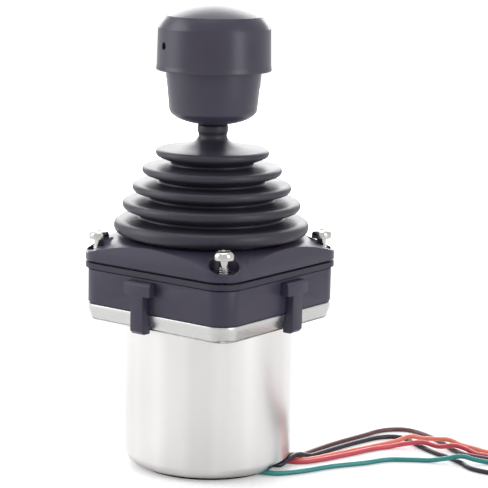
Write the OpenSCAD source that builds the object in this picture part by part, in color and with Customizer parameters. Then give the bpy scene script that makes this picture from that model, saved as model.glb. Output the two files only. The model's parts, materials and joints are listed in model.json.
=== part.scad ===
// Two-axis panel joystick with a twist cap, a round metal can and five flying leads.
// Origin at the centre of the base, +Z up, the square bezel along X and Y.

/* [Can and base] */
// Outside diameter of the can
can_d = 51; // [50:0.5:52]
// Radius of the can's lower edge
can_edge_r = 3.5; // [3:0.25:4]
// Thickness of the can's wall
can_wall = 1.2; // [1:0.1:1.5]
// Diameter of the base cover
cover_d = 42.6; // [42:0.2:43]

/* [Square stack] */
// Side of the flange and of the frame
frame_side = 56.3; // [56:0.1:57]
// Corner radius of the flange and of the frame
frame_corner = 6.5; // [6:0.1:7]
// Height of the flange's underside above the base
flange_z = 45.5; // [45.3:0.1:45.7]
// Thickness of the flange
flange_t = 4.9; // [4.6:0.1:5]
// Side of the bezel and of the gasket lip
bezel_side = 58; // [57.8:0.1:58.4]
// Corner radius of the bezel
bezel_corner = 7.5; // [7:0.1:8]
// Slope of the bezel's conical top in degrees
bezel_slope = 25; // [24:0.5:26]
// Distance between neighbouring screws
screw_pitch = 48; // [47.8:0.1:48.2]
// Diameter of the screw holes
screw_hole_d = 3.4; // [3.3:0.1:3.5]

/* [Bellows] */
// Wall thickness of the bellows
boot_wall = 1; // [0.9:0.05:1.1]
// Outer radius of the lowest ring
boot_r = 29.5; // [29:0.1:29.8]

/* [Knob] */
// Diameter of the cap's skirt
cap_d = 34.6; // [34:0.1:35]
// Height of the top of the dome
top_z = 140.8; // [140.5:0.1:141.1]
// Radius of the dome's surface
dome_r = 31; // [30.6:0.1:31.4]

/* [Mechanism] */
// Height of the two tilt axes
pivot_z = 57.5; // [57.3:0.1:57.7]
// Diameter of the lever's shaft
shaft_d = 6; // [5.8:0.1:6]
// Largest tilt of the lever on each axis in degrees
tilt_max = 18; // [17:0.5:18]
// Largest turn of the cap each way in degrees
twist_max = 30; // [25:1:32]

/* [Leads] */
// Outside diameter of one lead
lead_d = 1.5; // [1.4:0.1:1.5]

/* [Hidden] */
$fn = 64;

can_r = can_d / 2;
cover_t = 1;
can_floor_z = cover_t;
can_in_r = can_r - can_wall;
flange_top = flange_z + flange_t;
frame_top = 61;
lip_top = 63.1;
bezel_z = 63.8;
half = frame_side / 2;
bezel_half = bezel_side / 2;
hole_at = screw_pitch / 2;
hole_r = screw_hole_d / 2;
shank_bore_r = 2.1;
bore_r = 24.6;
spigot_r = 22.5;
land_z = 70.7;
rim_z = 70.4;
spot_z = 66;
exit_angle = 20;
exit_low = -10.6;
exit_w = 18.4;
exit_top = 3.5;
eps = 0.01;

// ---- shared forms ----

// Four copies at the corners of a square with half side a
module at_corners(a) {
    for (sx = [-1, 1], sy = [-1, 1]) translate([sx * a, sy * a, 0]) children();
}

// Flat square with round corners
module rounded_square(h, r) {
    square([2 * h, 2 * (h - r)], center = true);
    square([2 * (h - r), 2 * h], center = true);
    at_corners(h - r) circle(r);
}

// Slab with round corners, from z0 to z1
module slab(h, r, z0, z1) {
    translate([0, 0, z0]) linear_extrude(z1 - z0) rounded_square(h, r);
}

// Turned ring between two radii and two heights
module ring(r0, r1, z0, z1) {
    translate([0, 0, z0]) difference() {
        cylinder(r = r1, h = z1 - z0);
        translate([0, 0, -1]) cylinder(r = r0, h = z1 - z0 + 2);
    }
}

// Upright rod from z0 to z1
module rod(r, z0, z1) {
    translate([0, 0, z0]) cylinder(r = r, h = z1 - z0);
}

// Four bores at the screw places
module screw_bores(r, z0, z1) {
    at_corners(hole_at) rod(r, z0, z1);
}

// Points of an arc about [x, y] with radius r, from angle a0 to a1 in n steps
function arc(x, y, r, a0, a1, n) =
    [for (i = [0:n]) let (a = a0 + (a1 - a0) * i / n) [x + r * cos(a), y + r * sin(a)]];

// ---- can and base ----

// Half section of the drawn can, closed towards the axis
module can_outline(r, edge, z0, z1) {
    square_r = r - edge;
    polygon(concat([[0, z0]], arc(square_r, z0 + edge, edge, -90, 0, 12), [[r, z1], [0, z1]]));
}

// Box over the leads' exit, from d0 to d1 outwards and from z0 to z1
module exit_block(d0, d1, z0, z1) {
    rotate([0, 0, exit_angle]) translate([d0, exit_low, z0]) cube([d1 - d0, exit_w, z1 - z0]);
}

module can() {
    mouth_r = cover_d / 2 - 2;
    color("gainsboro") difference() {
        rotate_extrude() can_outline(can_r, can_edge_r, can_floor_z, flange_z);
        rotate_extrude() can_outline(can_in_r, can_edge_r - can_wall, can_floor_z + can_wall, flange_z + 1);
        rod(mouth_r, 0, 5);
        exit_block(14, 28, 0, exit_top);
    }
}

// Pressed base cover with a plug that snaps into the can's mouth and a shallow rim
module base_cover() {
    r = cover_d / 2;
    color("#222226") difference() {
        union() {
            rotate_extrude() polygon([[0, 0], [r - 0.4, 0], [r, 0.4], [r, cover_t], [0, cover_t]]);
            rod(r - 2.1, cover_t - eps, 3.6);
        }
        ring(15.4, 16.2, -1, 0.3);
        rod(r - 3.6, 2, 5);
        exit_block(10, 24, 0.3, 5);
    }
}

// Rubber grommet in the slot of the can's lower edge, with one bore for each lead
module lead_grommet() {
    gap = 0.05;
    low = 0.3 + gap;
    top = exit_top - gap;
    color("#5b5b60") difference() {
        intersection() {
            rotate_extrude() polygon([[12, low], [21.6, low], [21.6, top], [12, top]]);
            rotate([0, 0, exit_angle]) translate([16.2, exit_low + gap, 0]) cube([12, exit_w - 2 * gap, 4]);
        }
        rotate([0, 0, exit_angle]) for (t = lead_slots)
            translate([13, t, lead_exit_z]) rotate([0, 90, 0]) cylinder(r = lead_d / 2, h = 13);
    }
}

// ---- square stack ----

// Edge section of the flange: upright band above, slope towards the underside
function flange_edge(h) = [[0, flange_z], [h - 1.2, flange_z], [h, flange_top - 1.4], [h, flange_top], [0, flange_top]];

module mounting_flange() {
    c = half - frame_corner;
    color("#d4d4d0") difference() {
        union() {
            for (a = [0, 90]) rotate([0, 0, a]) for (m = [0, 1]) mirror([m, 0, 0])
                translate([0, c, 0]) rotate([90, 0, 0]) linear_extrude(2 * c) polygon(flange_edge(half));
            at_corners(c) rotate_extrude() polygon(flange_edge(frame_corner));
            rod(can_in_r - 0.05, flange_z - 4, flange_z + 1);
        }
        rod(spigot_r, flange_z - 5, flange_top + 1);
        screw_bores(hole_r, flange_z - 1, flange_top + 1);
    }
}

module body_frame() {
    low_step = 0.5;
    color("#2b2a33") difference() {
        union() {
            slab(half, frame_corner, flange_top + low_step, frame_top);
            slab(half - 0.35, frame_corner - 0.35, flange_top, flange_top + low_step + eps);
        }
        rod(bore_r, flange_top - 1, frame_top + 1);
        screw_bores(hole_r, flange_top - 1, frame_top + 1);
        screw_bores(2.25, 54.9, frame_top + 1);
        clip_places() translate([0, 0, 58.2]) rotate([0, 90, 0]) translate([0, 0, half - 2]) cylinder(r = 1.5, h = 3);
    }
}

// The four clips: +X face, its mirror image on -Y, and the same pair turned half round
module clip_places() {
    for (turn = [0, 180]) rotate([0, 0, turn]) {
        translate([0, 3, 0]) children();
        rotate([0, 0, -90]) translate([0, -3, 0]) children();
    }
}

// T-headed clip on the +X face: a head on the frame, a stem and a hook under the flange
module snap_clip() {
    stem_w = 4.6;
    head_w = 9.9;
    face = 31;
    back = half + 0.05;
    low = 44.7;
    head_z = 56.3;
    head_top = 60.3;
    intersection() {
        translate([0, head_w / 2, 0]) rotate([90, 0, 0]) linear_extrude(head_w)
            polygon([[back, head_top], [face - 0.7, head_top], [face, head_top - 0.7], [face, low + 1],
                [face - 1, low], [back - 0.7, low], [back - 0.85, low + 0.25], [back - 0.85, flange_z + 0.9],
                [back, flange_top - 1.5]]);
        translate([back - 2, 0, 0]) rotate([90, 0, 90]) linear_extrude(6) {
            translate([-stem_w / 2, low]) square([stem_w, head_z - low + 1]);
            translate([-head_w / 2 + 0.6, head_z]) square([head_w - 1.2, head_top - head_z]);
            translate([-head_w / 2, head_z + 0.6]) square([head_w, head_top - head_z - 1.2]);
            for (s = [-1, 1], z = [head_z + 0.6, head_top - 0.6]) translate([s * (head_w / 2 - 0.6), z]) circle(0.6);
        }
    }
}

module snap_clips() {
    color("#3a3944") clip_places() {
        snap_clip();
        translate([half - 1.9, 0, 58.2]) rotate([0, 90, 0]) cylinder(r = 1.45, h = 3);
    }
}

module thread_inserts() {
    color("#b5893c") at_corners(hole_at) difference() {
        union() {
            rod(2.2, 55, 57.1);
            rod(1.95, 56.5, 59);
            rod(2.2, 58.7, frame_top);
        }
        rod(1.55, 54.5, frame_top + 1);
    }
}

// Gasket: an outer lip and a raised inner rib that carries the bezel
module panel_gasket() {
    rib = bezel_half - 1.7;
    color("#1c1c20") difference() {
        union() {
            slab(bezel_half, bezel_corner, frame_top, lip_top);
            slab(rib, bezel_corner - 1.2, lip_top - eps, bezel_z);
        }
        rod(bore_r, frame_top - 1, bezel_z + 1);
        screw_bores(shank_bore_r, frame_top - 1, bezel_z + 1);
    }
}

// Bezel: square with planar sides under a cone, so that each side ends in an arch
module bezel() {
    slope = tan(bezel_slope);
    reach = 46;
    color("#2f2e38") difference() {
        intersection() {
            slab(bezel_half, bezel_corner, bezel_z, land_z);
            rotate_extrude() polygon([[0, bezel_z - 1], [reach, bezel_z - 1],
                [reach, rim_z - slope * (reach - bezel_half)],
                [bezel_half - (land_z - rim_z) / slope - 1, land_z + slope], [0, land_z + slope]]);
        }
        rod(23.6, bezel_z - 1, land_z + 2);
        rod(26, bezel_z - 1, 67.5);
        screw_bores(shank_bore_r, bezel_z - 1, land_z + 1);
        screw_bores(4.4, spot_z, land_z + 1);
    }
}

// Pan-head screw with a cross recess, head underside at z
module pan_screw(r_head, h_head, r_shank, z, tip_z) {
    cross_w = r_head * 0.28;
    difference() {
        union() {
            translate([0, 0, z]) rotate_extrude()
                polygon(concat([[0, 0], [r_head, 0]], arc(r_head - h_head * 0.6, h_head * 0.4, h_head * 0.6, 0, 75, 6),
                    [[0, h_head]]));
            rod(r_shank, tip_z, z + eps);
        }
        for (a = [45, 135]) rotate([0, 0, a]) translate([-r_head * 0.55, -cross_w / 2, z + h_head * 0.4])
            cube([r_head * 1.1, cross_w, h_head]);
    }
}

module bezel_screws() {
    color("#d8d8dc") at_corners(hole_at) pan_screw(3.05, 2.5, 1.45, 69.9, 59.3);
}

// ---- bellows ----

// Rings from the top down: outer radius, height of the nose, half height of the nose
boot_rings = [[17.1, 96.1, 1.25], [21.1, 90.8, 1.25], [24, 85.55, 1.35], [26.9, 80.3, 1.5], [boot_r, 73.9, 2.2]];
// Valleys below the first four rings: inner radius, height, half gap
boot_valleys = [[12.5, 93, 0.6], [16, 87.6, 0.6], [18.9, 82.5, 0.6], [21.8, 76.9, 0.6]];

// One side of the bellows wall; t is 0 on the outside and the wall thickness on the inside
function boot_side(t) = [for (i = [0:4]) let (n = boot_rings[i], v = boot_valleys[i]) each concat(
    arc(n[0] - n[2], n[1], n[2] - t, 86, -65, 7),
    i < 4 ? arc(v[0] + v[2], v[1], v[2] + t, 115, 270, 5) : [])];

// Neck on the outside: fillet from the top disc, waist, bead and upper end
boot_neck = [[4.3, 104.75], [4.6, 104.1], [4.6, 102.6], [4.3, 101.7], [4.3, 101], [4.9, 100], [5.9, 99.3], [7.4, 98.75],
    [9.4, 98.2], [11.6, 97.8]];
// Base on the inside and the outside: sleeve and retaining bead
boot_foot = [[23.4, 71.1], [23.4, 67.3], [25.8, 67.3], [25.8, 65.8], [22.3, 65.8], [22.3, 71.5]];

function reversed(list) = [for (i = [len(list) - 1:-1:0]) list[i]];

module bellows_boot() {
    color("#26242c") rotate_extrude()
        polygon(concat(boot_neck, boot_side(0), boot_foot, reversed(boot_side(boot_wall)),
            [[11, 96.8], [8, 97.3], [5, 98.2], [3.1, 99.9], [3.1, 104.75]]));
}

module boot_clamp_ring() {
    color("#3c3c44") difference() {
        ring(22.4, 25.8, 63.9, 65.7);
        for (a = [0:45:315]) rotate([0, 0, a]) translate([24.1, 0, 62.5]) cylinder(r = 0.8, h = 5);
    }
}

// ---- fixed part of the mechanism ----

post_r = 2.3;
post_at = 18.9;
gate_z = 42.5;
gate_t = 2;

module gimbal_chassis() {
    color("#303038") difference() {
        union() {
            ring(21.8, 24.3, flange_top + 0.05, 63.7);
            for (a = [45:90:315]) rotate([0, 0, a]) {
                translate([post_at, 0, 0]) rod(post_r, gate_z + gate_t, 53.5);
                translate([post_at, -1.2, flange_top + 0.05]) cube([4, 2.4, 3]);
            }
            for (m = [0, 1]) mirror([m, 0, 0]) translate([18.4, 0, pivot_z]) rotate([0, 90, 0]) cylinder(r = 4.6, h = 5);
        }
        for (a = [45:90:315]) rotate([0, 0, a]) translate([post_at, 0, 0]) rod(0.9, gate_z, 51.5);
        translate([-30, 0, pivot_z]) rotate([0, 90, 0]) cylinder(r = 2.75, h = 60);
    }
}

// Flanged bushes of the first tilt axis, pressed into the chassis from inside
module chassis_bushes() {
    color("#d9c48a") for (m = [0, 1]) mirror([m, 0, 0]) translate([0, 0, pivot_z]) rotate([0, 90, 0]) difference() {
        union() {
            rod(2.7, 18.4, 23.6);
            rod(4.2, 17.4, 18.4);
        }
        rod(1.55, 17, 24);
    }
}

// Plate with a square opening that stops the lever at the end of its travel
module gate_plate() {
    stop = (pivot_z - gate_z) * tan(tilt_max) + shaft_d / 2 / cos(tilt_max) + 0.8;
    color("#a9abb0") difference() {
        rod(22.2, gate_z, gate_z + gate_t);
        slab(stop, 2.6, gate_z - 1, gate_z + gate_t + 1);
        for (a = [45:90:315]) rotate([0, 0, a]) translate([post_at, 0, 0]) rod(1.1, gate_z - 1, gate_z + 4);
        for (a = [0:90:270]) rotate([0, 0, a]) translate([19, 0, 0]) rod(1.1, gate_z - 1, gate_z + 4);
    }
}

module gate_screws() {
    color("#c8c8cc") for (a = [45:90:315]) rotate([0, 0, a]) translate([post_at, 0, 0]) mirror([0, 0, 1])
        pan_screw(1.9, 1.3, 0.85, -gate_z, -gate_z - 6);
}

// Conical coil: centre line as a function, swept as an eight-sided wire
spring_low = gate_z + gate_t + 0.75;
spring_high = 50.4;
function coil_path(r0, r1, z0, z1, turns, steps) = [for (i = [0:steps]) let (u = i / steps, r = r0 + (r1 - r0) * u)
    [r * cos(360 * turns * u), r * sin(360 * turns * u), z0 + (z1 - z0) * u]];

function unit(v) = v / norm(v);

// Swept tube of n sides along a path of points, with flat ends
module tube(path, r, n = 8) {
    last = len(path) - 1;
    rings = [for (i = [0:last]) let (
            d = unit(path[min(i + 1, last)] - path[max(i - 1, 0)]),
            side = abs(d[2]) > 0.9 ? unit(cross(d, [1, 0.3, 0])) : unit(cross(d, [0, 0, 1])),
            up = cross(side, d))
        for (k = [0:n - 1]) path[i] + r * (cos(360 * k / n) * side + sin(360 * k / n) * up)];
    walls = [for (i = [0:last - 1], k = [0:n - 1])
        [i * n + k, i * n + (k + 1) % n, (i + 1) * n + (k + 1) % n, (i + 1) * n + k]];
    polyhedron(rings, concat([[for (k = [n - 1:-1:0]) k]], walls, [[for (k = [0:n - 1]) last * n + k]]), convexity = 6);
}

module centring_spring() {
    color("#b9bbc0") tube(coil_path(12.6, 7, spring_low, spring_high, 3.5, 63), 0.55, 6);
}

board_top = 26.1;

// Hexagonal pillars between the gate plate and the sensor board
module board_pillars() {
    color("#c9b06a") for (a = [0:90:270]) rotate([0, 0, a]) translate([19, 0, 0]) difference() {
        union() {
            translate([0, 0, board_top]) cylinder(r = 2.2, h = gate_z - board_top, $fn = 6);
            rod(1, gate_z - eps, gate_z + gate_t);
        }
        rod(0.9, board_top - 1, board_top + 7);
    }
}

module main_board() {
    color("#1f5b3a") difference() {
        rod(22, board_top - 1.6, board_top);
        for (a = [0:90:270]) rotate([0, 0, a]) translate([19, 0, 0]) rod(1.1, board_top - 3, board_top + 1);
    }
}

module board_screws() {
    color("#c8c8cc") for (a = [0:90:270]) rotate([0, 0, a]) translate([19, 0, 0]) mirror([0, 0, 1])
        pan_screw(1.9, 1.3, 0.85, 1.6 - board_top, -board_top - 5);
}

// Hall sensor with its gull-wing legs, under the lever's magnet
module tilt_sensor() {
    color("#1a1a1d") translate([-2.5, -3, board_top + 0.15]) cube([5, 6, 1.5]);
    color("#c8c8cc") for (m = [0, 1]) mirror([m, 0, 0]) for (y = [-1.9:1.27:2]) {
        translate([2.5 - eps, y - 0.2, board_top + 0.5]) cube([0.7, 0.4, 0.3]);
        translate([3, y - 0.2, board_top]) cube([0.7, 0.4, 0.8]);
    }
}

// Five-way terminal under the board
module lead_terminals() {
    color("#e4e0d4") rotate([0, 0, exit_angle]) difference() {
        translate([9.5, exit_low, board_top - 1.6 - 4]) cube([5.5, exit_w, 4]);
        for (t = lead_slots) translate([13, t, 0]) rod(lead_d / 2, 17.5, 22.5);
    }
}

// ---- tilting parts ----

module gimbal_ring() {
    color("#8d9096") difference() {
        rod(16, pivot_z - 4, pivot_z + 4);
        rod(11, pivot_z - 5, pivot_z + 5);
        for (m = [0, 1]) mirror([m, 0, 0]) translate([10, 0, pivot_z]) rotate([0, 90, 0]) cylinder(r = 1.5, h = 8);
        translate([0, 20, pivot_z]) rotate([90, 0, 0]) cylinder(r = 1.55, h = 40);
    }
}

module gimbal_axles() {
    color("#c4c6ca") for (m = [0, 1]) mirror([m, 0, 0]) translate([0, 0, pivot_z]) rotate([0, 90, 0]) rod(1.5, 11.3, 23);
}

module pivot_block() {
    color("#a3a6ac") difference() {
        union() {
            translate([-6, -6.5, pivot_z - 5]) cube([12, 13, 11]);
            translate([0, 9.6, pivot_z]) rotate([90, 0, 0]) cylinder(r = 4.2, h = 19.2);
        }
        rod(shaft_d / 2, pivot_z - 7, pivot_z + 8);
        for (m = [0, 1]) mirror([0, m, 0]) translate([0, 12, pivot_z]) rotate([90, 0, 0]) cylinder(r = 1.5, h = 7);
    }
}

module pivot_pins() {
    color("#c4c6ca") for (m = [0, 1]) mirror([0, m, 0]) translate([0, 15.8, pivot_z]) rotate([90, 0, 0]) cylinder(r = 1.5, h = 10.8);
}

cup_z = 104.85;
cup_floor = 107.9;

// Shaft with a reduced tail below and a threaded end above
module lever_shaft() {
    r = shaft_d / 2;
    color("#c4c6ca") rotate_extrude()
        polygon([[0, 34.5], [1.6, 34.5], [2, 34.9], [2, 40.5], [r, 41.5], [r, cup_z], [2.5, cup_z + 0.5], [2.5, 110.3],
            [2.1, 110.7], [0, 110.7]]);
}

module spring_collar() {
    color("#8d9096") difference() {
        union() {
            rod(8, 51.1, pivot_z - 5);
            rod(6, 49.5, 51.2);
        }
        rod(shaft_d / 2, 47.5, 55.5);
    }
}

module magnet_holder() {
    color("#e8e4da") difference() {
        rod(4.4, 32.1, 38.3);
        rod(2, 34.5, 39.5);
        rod(3, 31.5, 34.5);
    }
}

module tilt_magnet() {
    color("#9a9ca2") rod(3, 31.9, 34.5);
}

// ---- knob ----

// Cup on the shaft: convex conical underside, round lower edge, slightly flared wall
module knob_cup() {
    color("#2d2c35") difference() {
        rotate_extrude() polygon(concat([[0, cup_z], [4.6, cup_z], [8.2, 105.7]], arc(11.4, 109.3, 2.45, -62, -5, 5),
            [[14.3, 120.1], [14.3, 123.5], [0, 123.5]]));
        rotate_extrude() polygon([[0, cup_floor], [11.2, cup_floor], [12, 108.9], [12.7, 120.1], [12.7, 124.5], [0, 124.5]]);
        rod(2.5, 103.5, 109.5);
        rod(shaft_d / 2, 103.5, cup_z + 0.5);
    }
}

module shaft_nut() {
    color("#c8c8cc") difference() {
        translate([0, 0, cup_floor]) cylinder(r = 4.6, h = 2.4, $fn = 6);
        rod(2.5, 106.5, 111.5);
    }
}

// Small round board on three ledges in the cup with its Hall sensor on top
module twist_board() {
    color("#1f5b3a") rod(12, 112.5, 113.5);
    color("#1a1a1d") translate([-2, -2, 113.5 - eps]) cube([4, 4, 1]);
}

stop_r = 11.2;
stop_angle = 50;

// Lid of the cup with the bearing of the spindle and two stop posts
module cup_lid() {
    color("#34333d") difference() {
        union() {
            rod(12.6, 119.5, 121.5);
            rod(5.2, 118.5, 124.5);
            for (a = [stop_angle, stop_angle + 180]) rotate([0, 0, a]) translate([stop_r, 0, 0]) rod(1.1, 121, 127.5);
        }
        rod(3.1, 117.5, 125.5);
    }
}

// Cap: slightly tapered skirt, convex shoulder, seat for the dome and a boss for the spindle
module twist_cap() {
    r = cap_d / 2;
    skirt_in = 15;
    color("#2d2c35") difference() {
        union() {
            rotate_extrude() difference() {
                polygon(concat([[0, 121], [r - 0.1, 121], [r, 121.3], [r - 0.2, 122.3]],
                    arc(r - 15.13, 127.1, 16, 23.5, 38.6, 5), [[0, 137.1]]));
                polygon([[0, 119.5], [skirt_in + 0.6, 119.5], [skirt_in, 122.5], [skirt_in, 132], [13.4, 133.5], [0, 133.5]]);
            }
            rod(8, 125.5, 134);
            for (side = [0, 180], a = [-1, 1]) rotate([0, 0, stop_angle + side + a * (twist_max + 12)])
                translate([10.6, -1, 125]) cube([5, 2, 8]);
        }
        rod(14.1, 135.5, 138.5);
        rod(3, 124.5, 134.5);
        rotate([0, 0, grub_angle]) translate([2, 0, grub_z]) rotate([0, 90, 0]) cylinder(r = 1.15, h = 20);
    }
}

grub_angle = -112.5;
grub_z = 128.5;

// Domed disc let into the top of the cap
module cap_dome() {
    edge = 14.6;
    edge_z = 137.15;
    color("#34333d") rotate_extrude()
        polygon(concat([[0, 135.55], [14, 135.55], [14, edge_z], [edge, edge_z]],
            [for (i = [1:10]) let (x = edge * (1 - i / 10)) [x, top_z - dome_r + sqrt(pow(dome_r, 2) - pow(x, 2))]]));
}

module twist_spindle() {
    color("#c4c6ca") difference() {
        union() {
            rod(3, 116.1, 134.4);
            rod(4.2, 124.8, 125.5);
        }
        rod(1.6, 114.5, 117.9);
        ring(2.5, 4, 117.4, 118.2);
    }
}

module spindle_clip() {
    color("#8d9096") difference() {
        ring(2.5, 4.8, 117.45, 118.15);
        translate([0, -1.4, 116.5]) cube([8, 2.8, 3]);
    }
}

module twist_magnet() {
    color("#9a9ca2") rod(1.6, 115.7, 117.9);
}

module grub_screw() {
    color("#6f7178") rotate([0, 0, grub_angle]) translate([3.05, 0, grub_z]) rotate([0, 90, 0]) difference() {
        rod(1.15, 0, 4.6);
        translate([0, 0, 3]) cylinder(r = 0.7, h = 3, $fn = 6);
    }
}

module return_spring() {
    color("#b9bbc0") tube(coil_path(9.2, 9.2, 125.1, 131.5, 4, 64), 0.45, 6);
}

// ---- leads ----

lead_slots = [-9.6, -1, 1.2, 4.2, 6.4];
lead_exit_z = 1.15;
floor_z = lead_d / 2;

// Inner stretch of a lead: down from its terminal, round, and out through the grommet
function lead_start(t) = [for (p = [[13, 22.5], [13, 7], [13.4, 3.2], [14.6, 1.5], [16, lead_exit_z], [22, lead_exit_z]])
    [p[0] * cos(exit_angle) - t * sin(exit_angle), p[0] * sin(exit_angle) + t * cos(exit_angle), p[1]]];

// Outer stretches, each point with its height above the lead's rest on the floor
brown_route = [[20.5, 10.2, 1.3], [20.7, 12, 1.8], [20.7, 15.3, 1.7], [20.6, 17, 1.3], [20.4, 19, 0.5],
    [20.3, 21.4, 0], [20.4, 37, 0], [22.3, 53.7, 0], [23.3, 61.3, 0], [26.3, 66, 0], [29.8, 67.9, 0],
    [34.7, 67.4, 0], [39.7, 65.9, 0], [48, 61.4, 0], [53.6, 57.8, 0], [58.4, 56.3, 0], [66.9, 57, 0],
    [80, 58, 0], [103.22, 58.62, 0]];
black_route = [[22.3, 8, 0.35], [22.4, 10.4, 0.9], [22.4, 14, 1.65], [22.4, 17.6, 1.65], [22.4, 20, 0.9],
    [22.9, 23.4, 0], [25.8, 48.4, 0], [27.6, 54.7, 0], [30.5, 58.2, 0], [33.5, 59, 0], [38, 57, 0], [44, 54, 0],
    [51, 51.4, 0], [57.9, 49.6, 0], [62, 47.8, 0], [68.3, 44.6, 0], [74.2, 44.6, 0], [86, 46, 0],
    [112.5, 46.59, 0]];
orange_route = [[20.5, 15.3, 0], [23.2, 17, 0], [25.3, 20.8, 0], [27, 27, 0], [30.8, 41.4, 0],
    [34.7, 53.2, 0.4], [37.4, 57.2, 1.6], [40.4, 60.2, 0.9], [46.1, 61.4, 1.5], [48.6, 62.2, 1.6],
    [52.4, 63.5, 0.4], [57.4, 64, 0], [62.8, 63.2, 0], [80, 63.6, 0], [125.5, 64.05, 0]];
red_route = [[20.6, 12.9, 0], [24.6, 15.6, 0], [27.4, 20.8, 0], [30.4, 30.8, 0], [35.7, 47.5, 0],
    [40.2, 52.2, 1], [44, 54.2, 1.6], [49, 56, 0.8], [53.6, 57.9, 1.6], [56.6, 58.6, 1.2], [61.1, 59, 0],
    [65.8, 59.6, 0], [80, 60.8, 0], [130.33, 61.64, 0]];
green_route = [[26.6, 1.3, 0], [30.3, 7.6, 0], [34.3, 18, 0], [40, 28, 0], [43.5, 35.7, 0], [47.2, 38.9, 0],
    [53.2, 43.1, 0], [58, 46, 0.9], [61.6, 48.6, 1.75], [65.2, 51.4, 0.7], [69.4, 54, 0], [80, 55.2, 0],
    [134.08, 56.55, 0]];

// Whole lead: the inner stretch through bore number i, then the route on the floor
module lead(i, route) {
    tube(concat(lead_start(lead_slots[i]), [for (p = route) [p[0], p[1], p[2] + floor_z]]), lead_d / 2);
}

module brown_lead() {
    color("#6e4645") lead(2, brown_route);
}

module black_lead() {
    color("#26242c") lead(1, black_route);
}

module orange_lead() {
    color("#ff8a68") lead(4, orange_route);
}

module red_lead() {
    color("#dc4a5c") lead(3, red_route);
}

module green_lead() {
    color("#2f9490") lead(0, green_route);
}

can();
base_cover();
mounting_flange();
body_frame();
snap_clips();
thread_inserts();
panel_gasket();
bezel();
bezel_screws();
bellows_boot();
boot_clamp_ring();
lead_grommet();
gimbal_chassis();
gate_plate();
gate_screws();
chassis_bushes();
centring_spring();
board_pillars();
main_board();
board_screws();
tilt_sensor();
lead_terminals();
gimbal_ring();
gimbal_axles();
pivot_block();
pivot_pins();
lever_shaft();
spring_collar();
magnet_holder();
tilt_magnet();
knob_cup();
shaft_nut();
twist_board();
cup_lid();
twist_cap();
cap_dome();
twist_spindle();
spindle_clip();
twist_magnet();
grub_screw();
return_spring();
brown_lead();
black_lead();
red_lead();
orange_lead();
green_lead();
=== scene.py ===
"""Looks of a panel joystick: a round metal can, a square stack with bellows, a twist cap and five leads.

The pieces' sizes are in millimetres, and meshes, finishes and the stage are in metres. All is in the model's
own frame: origin at the centre of the base, +Z up.
"""
import json
import logging
from dataclasses import dataclass, field
from enum import Enum
from math import cos, pi, radians, sin

import bmesh
import bpy
import numpy as np
from mathutils import Matrix, Vector


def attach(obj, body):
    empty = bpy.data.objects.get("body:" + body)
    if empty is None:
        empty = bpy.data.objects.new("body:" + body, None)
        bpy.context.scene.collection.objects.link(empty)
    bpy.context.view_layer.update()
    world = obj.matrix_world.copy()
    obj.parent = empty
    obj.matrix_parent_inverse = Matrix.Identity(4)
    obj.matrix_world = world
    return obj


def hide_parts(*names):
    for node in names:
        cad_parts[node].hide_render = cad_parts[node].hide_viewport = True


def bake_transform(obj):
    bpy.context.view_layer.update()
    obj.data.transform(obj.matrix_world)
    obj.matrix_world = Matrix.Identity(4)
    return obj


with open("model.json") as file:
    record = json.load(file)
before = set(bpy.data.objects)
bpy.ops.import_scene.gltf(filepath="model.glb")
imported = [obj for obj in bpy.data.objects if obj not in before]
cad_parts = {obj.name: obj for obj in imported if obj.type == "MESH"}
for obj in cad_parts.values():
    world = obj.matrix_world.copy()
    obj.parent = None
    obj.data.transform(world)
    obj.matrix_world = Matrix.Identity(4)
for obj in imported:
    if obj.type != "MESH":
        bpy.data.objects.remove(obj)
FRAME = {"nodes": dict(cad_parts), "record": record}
LOG = logging.getLogger("joystick")
MM = 0.001
WELD = 1e-7
CAD_WELD = 2e-6

Profile = list[tuple[float, float]]
Colour = tuple[float, float, float]
Point = tuple[float, float, float]
Materials = dict[str, bpy.types.Material]


class Body(Enum):
    """The rigid bodies that pieces ride on."""

    BASE = "base_unit"
    GIMBAL = "gimbal"
    LEVER = "lever"
    KNOB = "knob"


class Grain(Enum):
    """Which way a metal's fine grain runs."""

    TURNED = "turned"
    FLAT = "flat"
    PLAIN = "plain"


# ---- shader maths ----


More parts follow.
